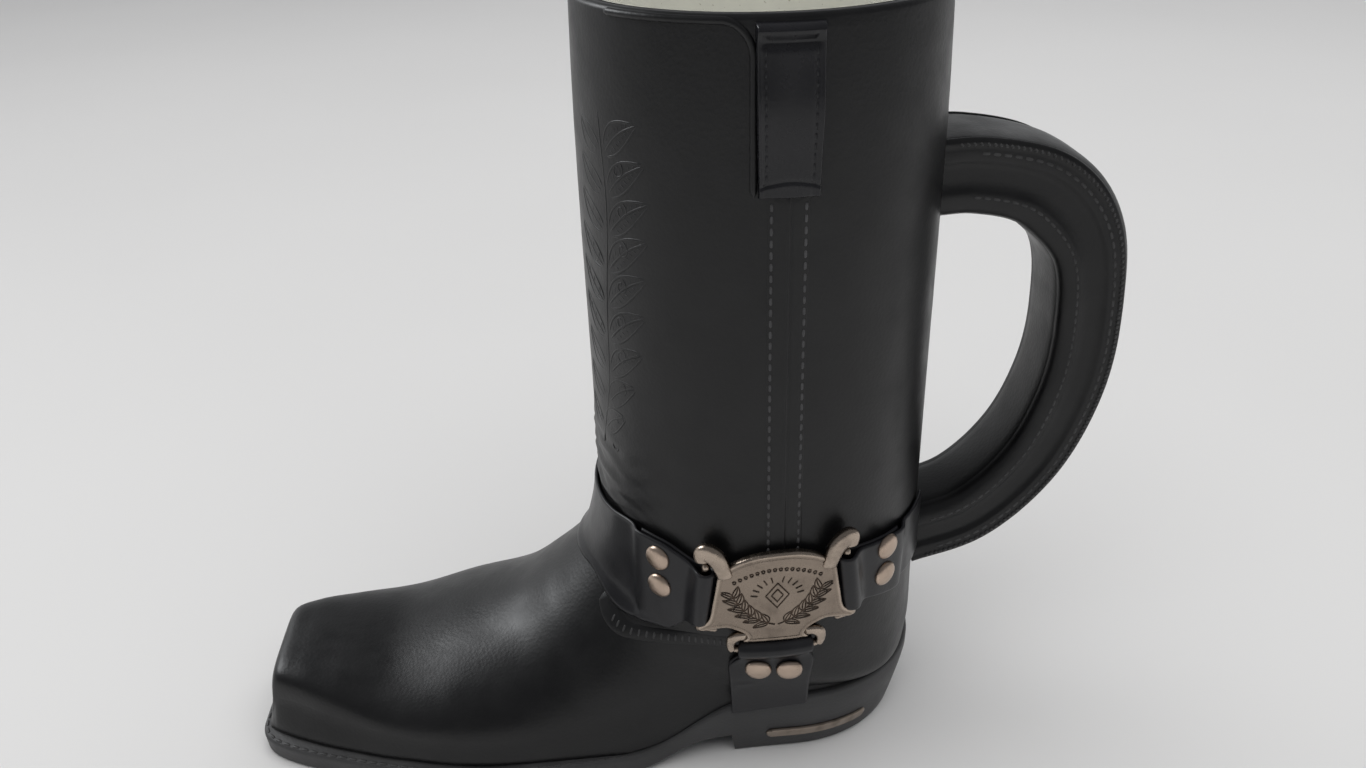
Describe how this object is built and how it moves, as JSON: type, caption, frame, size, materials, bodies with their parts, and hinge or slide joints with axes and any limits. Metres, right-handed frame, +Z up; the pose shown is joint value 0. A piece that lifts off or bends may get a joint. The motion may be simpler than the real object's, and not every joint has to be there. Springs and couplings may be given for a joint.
{
  "type": "ceramic boot stein",
  "caption": "Black glazed ceramic drinking stein shaped as a harness boot, with a loop handle behind the shaft, a pale glazed bore and bronze harness fittings.",
  "frame": {"origin": "on the floor under the shaft's axis, on the underside of the heel, in the boot's middle plane", "axes": "+Z up, +X from the toe towards the handle, -Y the boot's left side with the harness plate"},
  "size_m": [0.271, 0.1106, 0.229],
  "materials": {
    "black_glaze": "satin",
    "sole_glaze": "satin",
    "bronze": "brushed"
  },
  "bodies": {
    "root": {"boot_vessel": "black_glaze", "outsole": "sole_glaze", "heel_block": "sole_glaze", "handle": "black_glaze", "pull_strap_left": "black_glaze", "pull_strap_right": "black_glaze", "side_seam_left": "black_glaze", "side_seam_right": "black_glaze", "rear_strap_left": "black_glaze", "rear_strap_right": "black_glaze", "lower_strap_left": "black_glaze", "lower_strap_right": "black_glaze", "front_strap": "black_glaze", "harness_plate": "bronze", "harness_ring": "bronze", "rivet_front_left_a": "bronze", "rivet_front_left_b": "bronze", "rivet_rear_left_a": "bronze", "rivet_rear_left_b": "bronze", "rivet_front_right_a": "bronze", "rivet_front_right_b": "bronze", "rivet_rear_right_a": "bronze", "rivet_rear_right_b": "bronze", "rivet_lower_left_a": "bronze", "rivet_lower_left_b": "bronze", "rivet_lower_right_a": "bronze", "rivet_lower_right_b": "bronze", "heel_plate": "bronze"}
  },
  "joints": []
}
